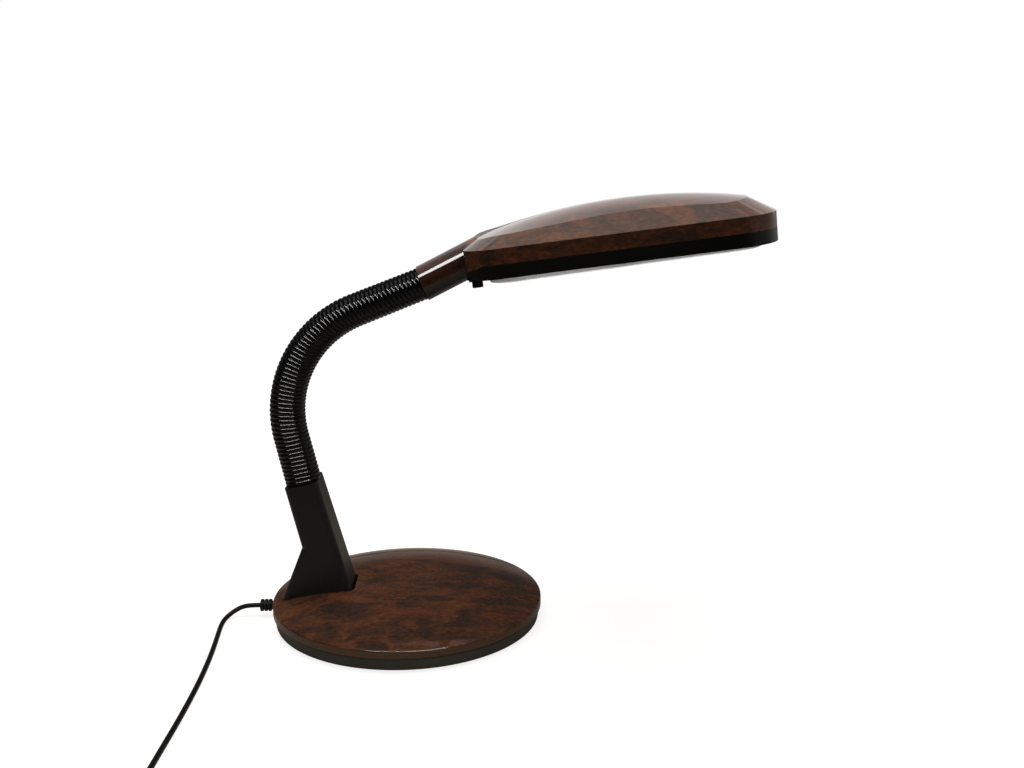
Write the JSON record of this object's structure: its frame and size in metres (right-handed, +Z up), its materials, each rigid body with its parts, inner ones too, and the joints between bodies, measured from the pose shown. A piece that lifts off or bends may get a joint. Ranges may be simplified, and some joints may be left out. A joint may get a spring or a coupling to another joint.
{
  "type": "desk lamp",
  "caption": "Desk lamp with an oval weighted base, a leaning boot, a ribbed gooseneck and a long hooded fluorescent head with a push switch.",
  "frame": {"origin": "middle of the base on the table", "axes": "+X the way the head points, +Y across the lamp, +Z up"},
  "size_m": [0.4768, 0.432, 0.3755],
  "materials": {
    "wood_print": "glossy dark red-brown burl print",
    "black_plastic": "satin black moulded plastic",
    "pan_plastic": "matte dark grey plastic",
    "pad_foam": "matte black foam rubber",
    "iron": "rough cast iron",
    "steel": "zinc plated steel",
    "sleeve": "satin black ribbed soft plastic",
    "rubber": "black rubber",
    "cord": "satin black cord sheath",
    "white_plastic": "white moulded plastic",
    "diffuser": "frosted translucent plastic",
    "reflector": "bright white-coated aluminium sheet",
    "tube_glass": "white phosphor-coated glass",
    "brass": "nickel-brass contacts",
    "board": "tan phenolic board",
    "choke": "dark ferrite",
    "capacitor": "dark blue sleeved can"
  },
  "bodies": {
    "base": {"base_pad": "pad_foam", "base_pan": "pan_plastic", "base_weight": "iron", "base_cover": "wood_print", "base_screws": "steel", "boot": "black_plastic", "boot_screws": "steel", "neck_nut": "steel", "terminal_block": "white_plastic", "neck_link_0": "steel", "neck_sleeve_0": "sleeve", "cord_gland": "rubber", "power_cord": "cord", "cord_coil": "cord", "coil_tie": "black_plastic", "plug_body": "rubber", "plug_blades": "brass"},
    "neck_1": {"neck_link_1": "steel", "neck_sleeve_1": "sleeve"},
    "neck_2": {"neck_link_2": "steel", "neck_sleeve_2": "sleeve"},
    "neck_3": {"neck_link_3": "steel", "neck_sleeve_3": "sleeve"},
    "neck_4": {"neck_link_4": "steel", "neck_sleeve_4": "sleeve"},
    "neck_5": {"neck_link_5": "steel", "neck_sleeve_5": "sleeve"},
    "neck_6": {"neck_link_6": "steel", "neck_sleeve_6": "sleeve"},
    "neck_7": {"neck_link_7": "steel", "neck_sleeve_7": "sleeve"},
    "head": {"head_hood": "wood_print", "head_frame": "black_plastic", "head_screws": "steel", "neck_ring": "steel", "diffuser": "diffuser", "reflector": "reflector", "lamp_holder": "white_plastic", "tube_cap": "white_plastic", "tube_pins": "brass", "lamp_tube": "tube_glass", "tube_clip": "white_plastic", "board_spacers": "white_plastic", "ballast_board": "board", "ballast_choke": "choke", "ballast_capacitor": "capacitor", "switch_case": "black_plastic", "neck_link_8": "steel", "neck_sleeve_8": "sleeve"},
    "switch_button": {"switch_button": "black_plastic"}
  },
  "joints": [
    {"name": "neck_bend_1", "type": "hinge", "parent": "base", "child": "neck_1", "pos_m": [-0.09179, 0, 0.14306], "axis": [0, 1, 0], "range_deg": [-12, 12]},
    {"name": "neck_side_2", "type": "hinge", "parent": "neck_1", "child": "neck_2", "pos_m": [-0.0979, 0, 0.17219], "axis": [-0.9861, 0, -0.166], "range_deg": [-12, 12]},
    {"name": "neck_bend_3", "type": "hinge", "parent": "neck_2", "child": "neck_3", "pos_m": [-0.0983, 0, 0.20184], "axis": [0, 1, 0], "range_deg": [-12, 12]},
    {"name": "neck_bend_4", "type": "hinge", "parent": "neck_3", "child": "neck_4", "pos_m": [-0.08975, 0, 0.23023], "axis": [0, 1, 0], "range_deg": [-12, 12]},
    {"name": "neck_side_5", "type": "hinge", "parent": "neck_4", "child": "neck_5", "pos_m": [-0.07303, 0, 0.25472], "axis": [-0.7303, 0, 0.6831], "range_deg": [-12, 12]},
    {"name": "neck_bend_6", "type": "hinge", "parent": "neck_5", "child": "neck_6", "pos_m": [-0.04971, 0, 0.27303], "axis": [0, 1, 0], "range_deg": [-12, 12]},
    {"name": "neck_bend_7", "type": "hinge", "parent": "neck_6", "child": "neck_7", "pos_m": [-0.02238, 0, 0.28475], "axis": [0, 1, 0], "range_deg": [-12, 12]},
    {"name": "neck_side_8", "type": "hinge", "parent": "neck_7", "child": "head", "pos_m": [0.00533, 0, 0.29561], "axis": [-0.3649, 0, 0.9311], "range_deg": [-12, 12]},
    {"name": "switch_press", "type": "slide", "parent": "head", "child": "switch_button", "axis": [-0.1236, 0, 0.9923], "range_m": [0, 0.0025], "stiffness_N_per_m": 600}
  ]
}
